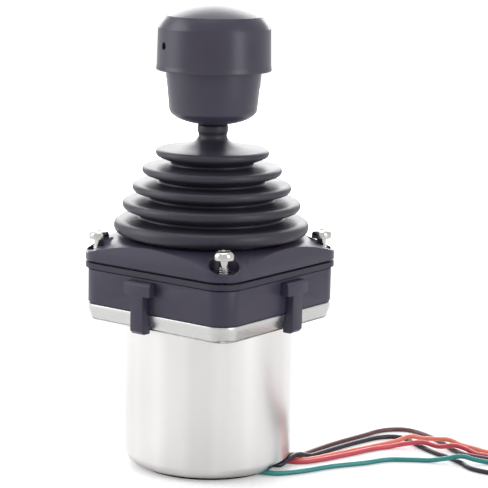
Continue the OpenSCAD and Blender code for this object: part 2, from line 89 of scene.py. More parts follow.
class Value:
    """A number socket of a node tree, with arithmetic written as Python expressions."""

    def __init__(self, tree: bpy.types.NodeTree, socket: bpy.types.NodeSocket) -> None:
        """Keep the tree and the output socket that this value stands for."""
        self.tree = tree
        self.socket = socket

    def _math(self, operation: str, first: "Value | float", second: "Value | float") -> "Value":
        """Add one Math node.

        Args:
            operation: name of the Math node's operation.
            first: first operand, a value or a number.
            second: second operand, a value or a number.

        Returns:
            The node's result as a value.
        """
        node = self.tree.nodes.new("ShaderNodeMath")
        node.operation = operation
        for slot, operand in enumerate((first, second)):
            if isinstance(operand, Value):
                self.tree.links.new(operand.socket, node.inputs[slot])
            else:
                node.inputs[slot].default_value = operand
        return Value(self.tree, node.outputs[0])

    def __add__(self, other: "Value | float") -> "Value":
        """Sum of two values."""
        return self._math("ADD", self, other)

    def __radd__(self, other: float) -> "Value":
        """Sum with a number on the left."""
        return self._math("ADD", other, self)

    def __sub__(self, other: "Value | float") -> "Value":
        """Difference of two values."""
        return self._math("SUBTRACT", self, other)

    def __rsub__(self, other: float) -> "Value":
        """Difference from a number on the left."""
        return self._math("SUBTRACT", other, self)

    def __mul__(self, other: "Value | float") -> "Value":
        """Product of two values."""
        return self._math("MULTIPLY", self, other)

    def __rmul__(self, other: float) -> "Value":
        """Product with a number on the left."""
        return self._math("MULTIPLY", other, self)

    def power(self, exponent: float) -> "Value":
        """This value raised to a power."""
        return self._math("POWER", self, exponent)

    def angle_with(self, other: "Value") -> "Value":
        """Angle in radians whose tangent is this value over the other."""
        return self._math("ARCTAN2", self, other)

    def clamped(self) -> "Value":
        """This value held between 0 and 1."""
        return self._math("MINIMUM", self._math("MAXIMUM", self, 0.0), 1.0)


class Shader:
    """A material's node tree with one way to add nodes."""

    def __init__(self, name: str) -> None:
        """Make a material with a Principled shader at its output.

        Args:
            name: the material's name.
        """
        self.material = bpy.data.materials.new(name)
        self.material.use_nodes = True
        self.tree = self.material.node_tree
        self.tree.nodes.clear()
        self.surface = self.node("ShaderNodeBsdfPrincipled")
        self.node("ShaderNodeOutputMaterial", {}, {"Surface": self.surface.outputs[0]})

    def node(self, kind: str, settings: dict | None = None, inputs: dict | None = None) -> bpy.types.Node:
        """Add a node.

        Args:
            kind: the node's type name.
            settings: node properties that are set first; "stops" fills a colour ramp.
            inputs: socket names or numbers with a number, colour, value or link for each.

        Returns:
            The new node.
        """
        node = self.tree.nodes.new(kind)
        for key, setting in (settings or {}).items():
            if key == "stops":
                ramp = node.color_ramp
                while len(ramp.elements) < len(setting):
                    ramp.elements.new(0.5)
                for element, (place, colour) in zip(ramp.elements, setting):
                    element.position = place
                    element.color = colour
            else:
                setattr(node, key, setting)
        for key, item in (inputs or {}).items():
            self.set(node, key, item)
        return node

    def set(self, node: bpy.types.Node, key: str | int, item: object) -> None:
        """Link or fill one socket of a node.

        Args:
            node: the node to change.
            key: the socket's name or number.
            item: a value, an output socket, or a plain number, colour or vector.
        """
        socket = node.inputs[key]
        if isinstance(item, Value):
            self.tree.links.new(item.socket, socket)
        elif isinstance(item, bpy.types.NodeSocket):
            self.tree.links.new(item, socket)
        else:
            socket.default_value = item

    def value(self, socket: bpy.types.NodeSocket) -> Value:
        """The socket as a value for expressions."""
        return Value(self.tree, socket)

    def place(self) -> tuple[bpy.types.NodeSocket, Value, Value, Value]:
        """Object coordinates in metres.

        Returns:
            The vector socket and its X, Y and Z as values.
        """
        vector = self.node("ShaderNodeTexCoord").outputs["Object"]
        parts = self.node("ShaderNodeSeparateXYZ", {}, {0: vector})
        return vector, *(self.value(parts.outputs[axis]) for axis in range(3))

    def noise(self, vector: bpy.types.NodeSocket, scale: float, detail: float = 3.0) -> Value:
        """Noise texture of that scale per metre over a vector, as a value round one half."""
        node = self.node("ShaderNodeTexNoise", {}, {"Vector": vector, "Scale": scale, "Detail": detail})
        return self.value(node.outputs["Fac"])

    def stretched(self, vector: bpy.types.NodeSocket, scale: Point) -> bpy.types.NodeSocket:
        """A vector with each axis multiplied by its own factor."""
        node = self.node("ShaderNodeVectorMath", {"operation": "MULTIPLY"}, {0: vector, 1: scale})
        return node.outputs[0]

    def blend(self, factor: Value, low: Colour, high: Colour) -> bpy.types.NodeSocket:
        """Run from one colour to another.

        Args:
            factor: a number from 0 to 1.
            low: the colour at 0.
            high: the colour at 1.

        Returns:
            The colour socket.
        """
        ends = {6: (*low, 1.0), 7: (*high, 1.0)}
        node = self.node("ShaderNodeMix", {"data_type": "RGBA"}, {0: factor, **ends})
        return node.outputs[2]

    def bump(self, height: Value, strength: float, distance: float) -> None:
        """Raise the surface by a height.

        Args:
            height: the height, from 0 to 1.
            strength: how strongly it shows.
            distance: the depth in metres.
        """
        inputs = {"Strength": strength, "Distance": distance, "Height": height}
        node = self.node("ShaderNodeBump", {}, inputs)
        self.set(self.surface, "Normal", node.outputs[0])


# ---- finishes ----


@dataclass(frozen=True)
class Metal:
    """Bare metal with a fine grain and a faint cloudy tone.

    grain_scale is the grain's fineness per metre, spread is how far the roughness varies, and
    painted_reflection_bands is the depth of painted reflection: soft upright stripes, lighter and darker
    round a turned piece, that stand in for the studio's reflections. The grain is drawn out by around, in
    metres per radian on a turned piece, and by along on a flat one. A striped tone is cloud_share of the
    cloud and reflection_band_share of the painted reflection stripes, less reflection_band_offset. The
    darkest tone is the colour times shadow less painted_reflection_bands.
    """

    name: str
    colour: Colour
    roughness: float = 0.3
    grain: Grain = Grain.PLAIN
    grain_scale: float = 6000.0
    spread: float = 0.06
    painted_reflection_bands: float = 0.0
    around: float = 0.004
    along: float = 0.04
    cloud_scale: float = 90.0
    cloud_share: float = 0.4
    reflection_band_scale: float = 3.1
    reflection_band_share: float = 1.3
    reflection_band_offset: float = 0.35
    shadow: float = 0.93
    grain_bump: float = 0.08
    grain_depth: float = 0.00002

    def build(self) -> bpy.types.Material:
        """Make the material.

        Returns:
            A metallic material whose roughness and height follow the grain.
        """
        shader = Shader(self.name)
        vector, x, y, z = shader.place()
        if self.grain is Grain.TURNED:
            angle = y.angle_with(x)
            rolled = shader.node("ShaderNodeCombineXYZ", {}, {0: angle * self.around, 1: z, 2: 0.0})
            lines = shader.noise(rolled.outputs[0], self.grain_scale, 2.0)
        elif self.grain is Grain.FLAT:
            flat = (self.along, self.along, 1.0)
            lines = shader.noise(shader.stretched(vector, flat), self.grain_scale, 2.0)
        else:
            lines = shader.noise(vector, self.grain_scale, 2.0)
        cloud = shader.noise(vector, self.cloud_scale, 2.0)
        shade = 0.5 + (cloud - 0.5) * 0.5
        dark = tuple(part * (self.shadow - self.painted_reflection_bands) for part in self.colour)
        # painted reflection: stripes of lighter and darker tone round the axis stand in for the studio's
        # reflections on the can
        if self.painted_reflection_bands:
            ring = shader.node("ShaderNodeCombineXYZ", {}, {0: y.angle_with(x), 1: 0.0, 2: 0.0})
            reflection_band = shader.noise(ring.outputs[0], self.reflection_band_scale, 1.0)
            shade = shade * self.cloud_share + reflection_band * self.reflection_band_share - self.reflection_band_offset
        shade = shade.clamped()
        shader.set(shader.surface, "Base Color", shader.blend(shade, dark, self.colour))
        rough = self.roughness + (lines - 0.5) * self.spread * 2.0
        shader.set(shader.surface, "Roughness", rough.clamped())
        shader.set(shader.surface, "Metallic", 1.0)
        shader.bump(lines, self.grain_bump, self.grain_depth)
        return shader.material


@dataclass(frozen=True)
class Moulded:
    """Moulded plastic or rubber with a fine leather-like skin.

    A faint cloud lightens the colour by lift, with contrast, and moves the roughness by sheen.
    """

    name: str
    colour: Colour
    roughness: float = 0.42
    skin_scale: float = 4200.0
    skin_depth: float = 0.00003
    specular: float = 0.5
    skin_bump: float = 0.25
    cloud_scale: float = 120.0
    contrast: float = 1.4
    lift: float = 1.25
    sheen: float = 0.12

    def build(self) -> bpy.types.Material:
        """Make the material.

        Returns:
            A dielectric material with a faint cloudy tone and a fine skin.
        """
        shader = Shader(self.name)
        vector = shader.place()[0]
        skin = shader.noise(vector, self.skin_scale, 2.0)
        cloud = shader.noise(vector, self.cloud_scale, 3.0)
        light = tuple(min(1.0, part * self.lift + 0.002) for part in self.colour)
        shade = (0.5 + (cloud - 0.5) * self.contrast).clamped()
        shader.set(shader.surface, "Base Color", shader.blend(shade, self.colour, light))
        shader.set(shader.surface, "Roughness", (self.roughness + (cloud - 0.5) * self.sheen).clamped())
        shader.set(shader.surface, "Specular IOR Level", self.specular)
        shader.bump(skin, self.skin_bump, self.skin_depth)
        return shader.material


@dataclass(frozen=True)
class Sleeve:
    """Soft PVC insulation of a lead, with a slow wave in its tone, gloss and height."""

    name: str
    colour: Colour
    roughness: float = 0.34
    wave_scale: float = 260.0
    wave_depth: float = 0.00005
    shadow: float = 0.86

    def build(self) -> bpy.types.Material:
        """Make the material.

        Returns:
            A slightly uneven plastic with a soft gloss.
        """
        shader = Shader(self.name)
        vector = shader.place()[0]
        wave = shader.noise(vector, self.wave_scale, 2.0)
        dark = tuple(part * self.shadow for part in self.colour)
        shader.set(shader.surface, "Base Color", shader.blend(wave, dark, self.colour))
        shader.set(shader.surface, "Roughness", (self.roughness + (wave - 0.5) * 0.1).clamped())
        shader.bump(wave, 0.1, self.wave_depth)
        return shader.material


@dataclass(frozen=True)
class Finishes:
    """All finishes of the joystick: the record's material slots, and the base cover's own near-black plastic
    as painted shadow.
    """

    # can_metal's last figure, 0.12, is the depth of its painted reflection stripes
    can_metal: Metal = Metal("can_metal", (0.87, 0.845, 0.845), 0.29, Grain.TURNED, 5200.0, 0.03, 0.12)
    flange_metal: Metal = Metal("flange_metal", (0.62, 0.62, 0.61), 0.3, Grain.FLAT, 5200.0, 0.12)
    zinc_steel: Metal = Metal("zinc_steel", (0.6, 0.59, 0.57), 0.16)
    steel: Metal = Metal("steel", (0.56, 0.57, 0.59), 0.3, Grain.FLAT)
    brass: Metal = Metal("brass", (0.76, 0.56, 0.26), 0.28)
    magnet: Metal = Metal("magnet", (0.6, 0.6, 0.62), 0.18)
    black_plastic: Moulded = Moulded("black_plastic", (0.04, 0.035, 0.06), 0.4, specular=0.35)
    knob_plastic: Moulded = Moulded("knob_plastic", (0.04, 0.035, 0.058), 0.34, 5200.0, 0.000015, 0.45)
    boot_rubber: Moulded = Moulded("boot_rubber", (0.026, 0.023, 0.036), 0.42, 3200.0, 0.00003, 0.4)
    gasket_rubber: Moulded = Moulded("gasket_rubber", (0.032, 0.028, 0.046), 0.5, 3600.0, specular=0.3)
    # the base cover's black plastic, darkened into painted shadow that stands in for the contact shadow under
    # the can
    cover_plastic_painted_shadow: Moulded = Moulded("cover_plastic_painted_shadow", (0.008, 0.007, 0.014), 0.5, specular=0.15)
    grommet_rubber: Moulded = Moulded("grommet_rubber", (0.1, 0.1, 0.11), 0.55)
    bearing_plastic: Moulded = Moulded("bearing_plastic", (0.72, 0.6, 0.38), 0.4)
    light_plastic: Moulded = Moulded("light_plastic", (0.78, 0.75, 0.66), 0.4)
    circuit_board: Moulded = Moulded("circuit_board", (0.02, 0.13, 0.06), 0.25, 900.0)
    brown_sleeve: Sleeve = Sleeve("brown_sleeve", (0.16, 0.065, 0.07))
    black_sleeve: Sleeve = Sleeve("black_sleeve", (0.026, 0.019, 0.038))
    red_sleeve: Sleeve = Sleeve("red_sleeve", (0.75, 0.09, 0.125))
    orange_sleeve: Sleeve = Sleeve("orange_sleeve", (1.0, 0.3, 0.205))
    green_sleeve: Sleeve = Sleeve("green_sleeve", (0.032, 0.3, 0.29))

    def build(self) -> Materials:
        """Make every finish.

        Returns:
            The materials by slot name.
        """
        return {name: getattr(self, name).build() for name in self.__dataclass_fields__}


# ---- meshes ----


def arc(centre: tuple[float, float], radius: float, start: float, stop: float, steps: int) -> Profile:
    """Arc of a circle.

    Args:
        centre: the circle's centre.
        radius: its radius.
        start: first angle in degrees.
        stop: last angle in degrees.
        steps: number of segments.

    Returns:
        The points from start to stop: centre plus radius times (cosine, sine).
    """
    angles = np.radians(np.linspace(start, stop, steps + 1))
    x = centre[0] + radius * np.cos(angles)
    y = centre[1] + radius * np.sin(angles)
    return list(zip(x.tolist(), y.tolist()))


def rounded(points: Profile, radii: dict[int, float], steps: int = 5) -> Profile:
    """Round chosen corners of an open outline.

    Args:
        points: the outline's corners.
        radii: corner number to rounding radius.
        steps: segments of each rounded corner.

    Returns:
        The outline with a quadratic blend at each chosen corner: it leaves the first side one
        tangent length before the corner and meets the second side as far after it.
    """
    result: Profile = []
    for number, point in enumerate(points):
        if number not in radii or number in (0, len(points) - 1):
            result.append(point)
            continue
        corner = np.array(point)
        before = np.array(points[number - 1]) - corner
        after = np.array(points[number + 1]) - corner
        reach = min(radii[number], 0.48 * np.linalg.norm(before), 0.48 * np.linalg.norm(after))
        first = corner + before / np.linalg.norm(before) * reach
        last = corner + after / np.linalg.norm(after) * reach
        t = np.linspace(0.0, 1.0, steps + 1)[:, None]
        curve = (1 - t) ** 2 * first + 2 * t * (1 - t) * corner + t**2 * last
        result.extend((float(a), float(b)) for a, b in curve)
    return result


def surface_object(
    name: str, grid: np.ndarray, wrap: tuple[bool, bool], sharp: float = 40.0
) -> bpy.types.Object:
    """Mesh of a two-parameter surface.

    Args:
        name: the object's name.
        grid: points as rows by columns by three, in metres.
        wrap: whether the rows and the columns close on themselves.
        sharp: angle in degrees past which an edge stays sharp.

    Returns:
        The object, with coincident points merged and faces pointing outwards.
    """
    rows, columns = grid.shape[:2]
    index = np.arange(rows * columns).reshape(rows, columns)
    if wrap[0]:
        index = np.vstack([index, index[:1]])
    if wrap[1]:
        index = np.hstack([index, index[:, :1]])
    corners = [index[:-1, :-1], index[1:, :-1], index[1:, 1:], index[:-1, 1:]]
    quads = np.stack(corners, axis=-1).reshape(-1, 4)
    mesh = bpy.data.meshes.new(name)
    mesh.from_pydata(grid.reshape(-1, 3).tolist(), [], quads.tolist())
    return finished(name, mesh, sharp)


def finished(name: str, mesh: bpy.types.Mesh, sharp: float = 40.0) -> bpy.types.Object:
    """Merge a mesh's doubles, point its faces outwards, smooth it and put it in the scene.

    Args:
        name: the object's name.
        mesh: the mesh, which is changed in place.
        sharp: angle in degrees past which an edge stays sharp.

    Returns:
        The object that holds the mesh.
    """
    work = bmesh.new()
    work.from_mesh(mesh)
    bmesh.ops.remove_doubles(work, verts=work.verts, dist=WELD)
    bmesh.ops.dissolve_degenerate(work, edges=work.edges, dist=1e-8)
    bmesh.ops.recalc_face_normals(work, faces=work.faces)
    work.to_mesh(mesh)
    work.free()
    mesh.polygons.foreach_set("use_smooth", np.ones(len(mesh.polygons), dtype=bool))
    mesh.set_sharp_from_angle(angle=radians(sharp))
    obj = bpy.data.objects.new(name, mesh)
    bpy.context.scene.collection.objects.link(obj)
    return obj


def turned(name: str, profile: Profile, steps: int = 128, sharp: float = 40.0) -> bpy.types.Object:
    """Body of revolution about Z.

    Args:
        name: the object's name.
        profile: closed outline of radius and height in millimetres.
        steps: segments round the axis.
        sharp: angle in degrees past which an edge stays sharp.

    Returns:
        The object: each outline point (r, z) at angle a lies at (r cos a, r sin a, z).
    """
    outline = np.array(profile) * MM
    angle = np.linspace(0.0, 2 * pi, steps, endpoint=False)
    r, z = outline[:, :1], outline[:, 1:]
    grid = np.stack([r * np.cos(angle), r * np.sin(angle), z + 0 * angle], axis=-1)
    return surface_object(name, grid, (True, True), sharp)


def softened(name: str, node: str, width: float, segments: int = 3, limit: float = 35.0) -> bpy.types.Object:
    """Copy of a CAD node with its hard edges rounded.

    Args:
        name: the new object's name.
        node: the CAD node.
        width: width of the rounding in millimetres.
        segments: segments of the rounding.
        limit: angle in degrees past which an edge is rounded.

    Returns:
        The copy, merged, with flat regions made whole and a Bevel modifier applied.
    """
    mesh = cad_object(node).data.copy()
    mesh.name = name
    work = bmesh.new()
    work.from_mesh(mesh)
    bmesh.ops.remove_doubles(work, verts=work.verts, dist=CAD_WELD)
    bmesh.ops.dissolve_limit(work, angle_limit=radians(0.6), verts=work.verts, edges=work.edges)
    work.to_mesh(mesh)
    work.free()
    mesh.materials.clear()
    obj = bpy.data.objects.new(name, mesh)
    bpy.context.scene.collection.objects.link(obj)
    bevel = obj.modifiers.new("edge", "BEVEL")
    bevel.width = width * MM
    bevel.segments = segments
    bevel.limit_method = "ANGLE"
    bevel.angle_limit = radians(limit)
    bevel.use_clamp_overlap = True
    bpy.context.view_layer.update()
    baked = bpy.data.meshes.new_from_object(obj.evaluated_get(bpy.context.evaluated_depsgraph_get()))
    obj.modifiers.clear()
    obj.data = baked
    baked.polygons.foreach_set("use_smooth", np.ones(len(baked.polygons), dtype=bool))
    baked.set_sharp_from_angle(angle=radians(28.0))
    return obj


def box(name: str, low: Point, high: Point, turn: Matrix) -> bpy.types.Object:
    """Closed box, used as a cutting tool.

    Args:
        name: the object's name.
        low: its lowest corner in millimetres, before the turn.
        high: its highest corner in millimetres, before the turn.
        turn: rotation about the origin.

    Returns:
        The box.
    """
    work = bmesh.new()
    middle = (Vector(low) + Vector(high)) / 2 * MM
    size = (Vector(high) - Vector(low)) * MM
    placed = turn @ Matrix.Translation(middle) @ Matrix.Diagonal((*size, 1.0))
    bmesh.ops.create_cube(work, size=1.0, matrix=placed)
    mesh = bpy.data.meshes.new(name)
    work.to_mesh(mesh)
    work.free()
    return finished(name, mesh)


def cut(piece: bpy.types.Object, tool: bpy.types.Object, sharp: float = 30.0) -> None:
    """Take a tool's volume out of a piece and remove the tool.

    Args:
        piece: the object to cut.
        tool: a closed object.
        sharp: angle in degrees past which an edge of the result stays sharp.
    """
    boolean = piece.modifiers.new("cut", "BOOLEAN")
    boolean.operation = "DIFFERENCE"
    boolean.solver = "EXACT"
    boolean.object = tool
    bpy.context.view_layer.update()
    baked = bpy.data.meshes.new_from_object(piece.evaluated_get(bpy.context.evaluated_depsgraph_get()))
    piece.modifiers.clear()
    piece.data = baked
    bpy.data.objects.remove(tool)
    baked.polygons.foreach_set("use_smooth", np.ones(len(baked.polygons), dtype=bool))
    baked.set_sharp_from_angle(angle=radians(sharp))


def hull(name: str, node: str) -> bpy.types.Object:
    """Convex hull of a CAD node.

    Args:
        name: the new object's name.
        node: the CAD node.

    Returns:
        The hull as a closed object.
    """
    source = cad_object(node).data
    points = np.empty(3 * len(source.vertices))
    source.vertices.foreach_get("co", points)
    mesh = bpy.data.meshes.new(name)
    mesh.from_pydata(points.reshape(-1, 3).tolist(), [], [])
    work = bmesh.new()
    work.from_mesh(mesh)
    bmesh.ops.remove_doubles(work, verts=work.verts, dist=CAD_WELD)
    result = bmesh.ops.convex_hull(work, input=work.verts)
    inner = [item for item in result["geom_interior"] if isinstance(item, bmesh.types.BMVert)]
    bmesh.ops.delete(work, geom=inner, context="VERTS")
    work.to_mesh(mesh)
    work.free()
    return finished(name, mesh)


def cad_object(node: str) -> bpy.types.Object:
    """The CAD node's own object."""
    return FRAME["nodes"][node]


def dress(obj: bpy.types.Object, material: bpy.types.Material) -> None:
    """Give a piece one material on all its faces."""
    obj.data.materials.clear()
    obj.data.materials.append(material)


def install(piece: bpy.types.Object, body: Body, node: str, slot: str, finish: Materials) -> None:
    """Dress a piece, set it on a body and let it stand for a CAD node.

    Args:
        piece: the new piece.
        body: the body that it rides on.
        node: the CAD node that it replaces.
        slot: the record's material slot.
        finish: the materials by slot.
    """
    dress(piece, finish[slot])
    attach(piece, body.value)
    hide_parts(node)


# ---- stage ----


@dataclass(frozen=True)
class Lamp:
    """Rectangular lamp: its centre and its width and height in metres, and its power in watts."""

    name: str
    place: Point
    size: tuple[float, float]
    power: float


@dataclass
class Stage:
    """Camera, floor, white surroundings and soft lamps.

    The floor glows for the camera only: by near_glow within near_radius of the object, and rising to full
    further out. The surroundings light diffuse faces with the strength fill, and seen, mirrored and through
    are added for what the camera sees, for reflections and for what shows through.
    """

    eye: Point = (0.37788, -0.47488, 0.18236)
    forward: Point = (-0.59913894, 0.77901395, -0.18485073)
    upward: Point = (-0.12845171, 0.13436049, 0.98257184)
    lens: float = 150.1
    sensor: float = 36.0
    floor_size: float = 1.7
    paper: Colour = (0.9, 0.9, 0.9)
    near_glow: float = 0.28
    near_radius: float = 0.16
    glow_rise: float = 2.4
    fill: float = 0.3
    seen: float = 0.75
    mirrored: float = 0.55
    through: float = 0.7
    aim: Point = (0.0, 0.0, 0.07)
    lamps: tuple[Lamp, ...] = (
        Lamp("top", (-0.1, 0.05, 1.15), (0.9, 0.9), 3.8),
        Lamp("key", (-0.75, -0.6, 0.5), (0.7, 0.9), 6.0),
        Lamp("side", (1.0, 0.0, 0.4), (0.4, 0.8), 3.8),
        Lamp("back", (-0.62, 0.8, 0.55), (1.3, 0.8), 14.0),
    )

    def camera(self) -> None:
        """Place the camera: it looks along forward with upward at the top of its frame."""
        data = bpy.data.cameras.new("camera")
        data.lens = self.lens
        data.sensor_width = self.sensor
        data.clip_start = 0.01
        data.clip_end = 20.0
        back = -Vector(self.forward).normalized()
        up = Vector(self.upward).normalized()
        right = up.cross(back).normalized()
        obj = bpy.data.objects.new("camera", data)
        turn = Matrix((right, up, back)).transposed().to_4x4()
        obj.matrix_world = Matrix.Translation(Vector(self.eye)) @ turn
        bpy.context.scene.collection.objects.link(obj)
        bpy.context.scene.camera = obj

    def floor(self) -> None:
        """Lay a white floor that keeps the object's shadow and reads as white elsewhere."""
        half = self.floor_size / 2
        mesh = bpy.data.meshes.new("floor")
        corners = [(-half, -half, 0.0), (half, -half, 0.0), (half, half, 0.0), (-half, half, 0.0)]
        mesh.from_pydata(corners, [], [(0, 1, 2, 3)])
        obj = bpy.data.objects.new("floor", mesh)
        bpy.context.scene.collection.objects.link(obj)
        shader = Shader("floor_paper")
        surface = shader.surface
        surface.inputs["Base Color"].default_value = (*self.paper, 1.0)
        surface.inputs["Roughness"].default_value = 0.9
        surface.inputs["Specular IOR Level"].default_value = 0.0
        x, y = shader.place()[1:3]
        far = ((x * x + y * y).power(0.5) - self.near_radius) * self.glow_rise
        shader.set(surface, "Emission Color", shader.blend(far.clamped(), (self.near_glow,) * 3, (1.0,) * 3))
        path = shader.node("ShaderNodeLightPath")
        shader.set(surface, "Emission Strength", shader.value(path.outputs["Is Camera Ray"]))
        dress(obj, shader.material)

    def world(self) -> None:
        """White surroundings for the camera and for reflections, and a softer fill for diffuse light."""
        world = bpy.data.worlds.new("studio")
        bpy.context.scene.world = world
        world.use_nodes = True
        tree = world.node_tree
        path = tree.nodes.new("ShaderNodeLightPath")
        camera = Value(tree, path.outputs["Is Camera Ray"])
        glossy = Value(tree, path.outputs["Is Glossy Ray"])
        clear = Value(tree, path.outputs["Is Transmission Ray"])
        background = tree.nodes["Background"]
        background.inputs["Color"].default_value = (1.0, 1.0, 1.0, 1.0)
        strength = self.fill + (camera * self.seen + glossy * self.mirrored + clear * self.through)
        tree.links.new(strength.socket, background.inputs["Strength"])

    def hang(self, lamp: Lamp) -> None:
        """Hang a lamp so that it faces the object.

        Args:
            lamp: the lamp.
        """
        data = bpy.data.lights.new(lamp.name, "AREA")
        data.shape = "RECTANGLE"
        data.size, data.size_y = lamp.size
        data.energy = lamp.power
        obj = bpy.data.objects.new(lamp.name, data)
        towards = Vector(self.aim) - Vector(lamp.place)
        obj.location = lamp.place
        obj.rotation_euler = towards.to_track_quat("-Z", "Y").to_euler()
        bpy.context.scene.collection.objects.link(obj)

    def build(self) -> None:
        """Set the whole stage."""
        bpy.context.scene.view_settings.view_transform = "Standard"
        self.camera()
        self.floor()
        self.world()
        for lamp in self.lamps:
            self.hang(lamp)


# ---- leads ----


@dataclass
class Leads:
    """The five leads, from their terminal through the grommet and out over the floor.

    Lengths are in millimetres. start holds distance from the axis and height, and routes hold X, Y and the
    height above a lead's rest on the floor.
    """

    diameter: float = 1.5
    exit_angle: float = 20.0
    slots: tuple[float, ...] = (1.2, -1.0, 4.2, 6.4, -9.6)
    colours: tuple[str, ...] = ("brown", "black", "red", "orange", "green")
    start: tuple[tuple[float, float], ...] = (
        (13, 22.5), (13, 7), (13.4, 3.2), (14.6, 1.5), (16, 1.15), (22, 1.15))
    routes: dict[str, list[Point]] = field(default_factory=lambda: {
        "brown": [(20.5, 10.2, 1.3), (20.7, 12, 1.8), (20.7, 15.3, 1.7), (20.6, 17, 1.3), (20.4, 19, 0.5),
                  (20.3, 21.4, 0), (20.4, 37, 0), (22.3, 53.7, 0), (23.3, 61.3, 0), (26.3, 66, 0),
                  (29.8, 67.9, 0), (34.7, 67.4, 0), (39.7, 65.9, 0), (48, 61.4, 0), (53.6, 57.8, 0),
                  (58.4, 56.3, 0), (66.9, 57, 0), (80, 58, 0), (103.22, 58.62, 0)],
        "black": [(22.3, 8, 0.35), (22.4, 10.4, 0.9), (22.4, 14, 1.65), (22.4, 17.6, 1.65), (22.4, 20, 0.9),
                  (22.9, 23.4, 0), (25.8, 48.4, 0), (27.6, 54.7, 0), (30.5, 58.2, 0), (33.5, 59, 0),
                  (38, 57, 0), (44, 54, 0), (51, 51.4, 0), (57.9, 49.6, 0), (62, 47.8, 0), (68.3, 44.6, 0),
                  (74.2, 44.6, 0), (86, 46, 0), (112.5, 46.59, 0)],
        "orange": [(20.5, 15.3, 0), (23.2, 17, 0), (25.3, 20.8, 0), (27, 27, 0), (30.8, 41.4, 0),
                   (34.7, 53.2, 0.4), (37.4, 57.2, 1.6), (40.4, 60.2, 0.9), (46.1, 61.4, 1.5),
                   (48.6, 62.2, 1.6), (52.4, 63.5, 0.4), (57.4, 64, 0), (62.8, 63.2, 0), (80, 63.6, 0),
                   (125.5, 64.05, 0)],
        "red": [(20.6, 12.9, 0), (24.6, 15.6, 0), (27.4, 20.8, 0), (30.4, 30.8, 0), (35.7, 47.5, 0),
                (40.2, 52.2, 1), (44, 54.2, 1.6), (49, 56, 0.8), (53.6, 57.9, 1.6), (56.6, 58.6, 1.2),
                (61.1, 59, 0), (65.8, 59.6, 0), (80, 60.8, 0), (130.33, 61.64, 0)],
        "green": [(26.6, 1.3, 0), (30.3, 7.6, 0), (34.3, 18, 0), (40, 28, 0), (43.5, 35.7, 0),
                  (47.2, 38.9, 0), (53.2, 43.1, 0), (58, 46, 0.9), (61.6, 48.6, 1.75), (65.2, 51.4, 0.7),
                  (69.4, 54, 0), (80, 55.2, 0), (134.08, 56.55, 0)],
    })

    def path(self, colour: str, slot: float) -> np.ndarray:
        """Points of a lead.

        Args:
            colour: the lead's colour.
            slot: its place across the grommet in millimetres.

        Returns:
            The points in metres: the start turned to the exit's direction, then the route on the floor.
        """
        turn = radians(self.exit_angle)
        start = np.array(self.start, float)
        inner = np.stack([
            start[:, 0] * cos(turn) - slot * sin(turn),
            start[:, 0] * sin(turn) + slot * cos(turn),
            start[:, 1],
        ], axis=1)
        outer = np.array(self.routes[colour], float) + (0.0, 0.0, self.diameter / 2)
        return np.vstack([inner, outer]) * MM

    def rest_on_floor(self, spline: bpy.types.Spline) -> None:
        """Fix a spline's automatic handles, none lower than a lead that lies on the floor.

        Args:
            spline: the Bezier spline of a linked curve.
        """
        bpy.context.view_layer.update()
        sides = {}
        for side in ("handle_left", "handle_right"):
            ends = np.empty(3 * len(spline.bezier_points))
            spline.bezier_points.foreach_get(side, ends)
            ends[2::3] = np.maximum(ends[2::3], self.diameter / 2 * MM)
            sides[side] = ends
        for point in spline.bezier_points:
            point.handle_left_type = point.handle_right_type = "FREE"
        for side, ends in sides.items():
            spline.bezier_points.foreach_set(side, ends)

    def build(self, finish: Materials) -> None:
        """Make the five leads as smooth round curves.

        Args:
            finish: the materials by slot.
        """
        for colour, slot in zip(self.colours, self.slots):
            points = self.path(colour, slot)
            data = bpy.data.curves.new(f"{colour}_wire", "CURVE")
            data.dimensions = "3D"
            data.bevel_depth = self.diameter / 2 * MM
            data.bevel_resolution = 3
            data.resolution_u = 8
            data.use_fill_caps = True
            spline = data.splines.new("BEZIER")
            spline.bezier_points.add(len(points) - 1)
            spline.bezier_points.foreach_set("co", points.ravel())
            for point in spline.bezier_points:
                point.handle_left_type = point.handle_right_type = "AUTO"
            piece = bpy.data.objects.new(f"{colour}_wire", data)
            bpy.context.scene.collection.objects.link(piece)
            self.rest_on_floor(spline)
            install(piece, Body.BASE, f"{colour}_lead", f"{colour}_sleeve", finish)


# ---- round pieces ----


@dataclass
class Can:
    """Drawn metal can with a round lower edge.

    Lengths are in millimetres. exit_slot holds the corners of the box that is cut out for the leads, before
    it is turned by exit_angle.
    """

    radius: float = 25.5
    edge: float = 3.5
    wall: float = 1.2
    floor: float = 1.0
    top: float = 45.5
    mouth: float = 19.3
    exit_angle: float = 20.0
    exit_slot: tuple[Point, Point] = ((14.0, -10.6, -1.0), (28.0, 7.8, 3.5))

    def build(self, finish: Materials) -> None:
        """Turn the can's shell.

        Args:
            finish: the materials by slot.
        """
        r, e, w = self.radius, self.edge, self.wall
        outside = [(self.mouth, self.floor)] + arc((r - e, self.floor + e), e, -90, 0, 24) + [(r, self.top)]
        inside = [(r - w, self.top)] + arc((r - e, self.floor + e), e - w, 0, -90, 24)
        inside.append((self.mouth, self.floor + w))
        piece = turned("can_shell", outside + inside, 192)
        turn = Matrix.Rotation(radians(self.exit_angle), 4, "Z")
        cut(piece, box("exit_tool", *self.exit_slot, turn))
        install(piece, Body.BASE, "can", "can_metal", finish)
        LOG.info("can shell: %.0f mm across", 2 * r)


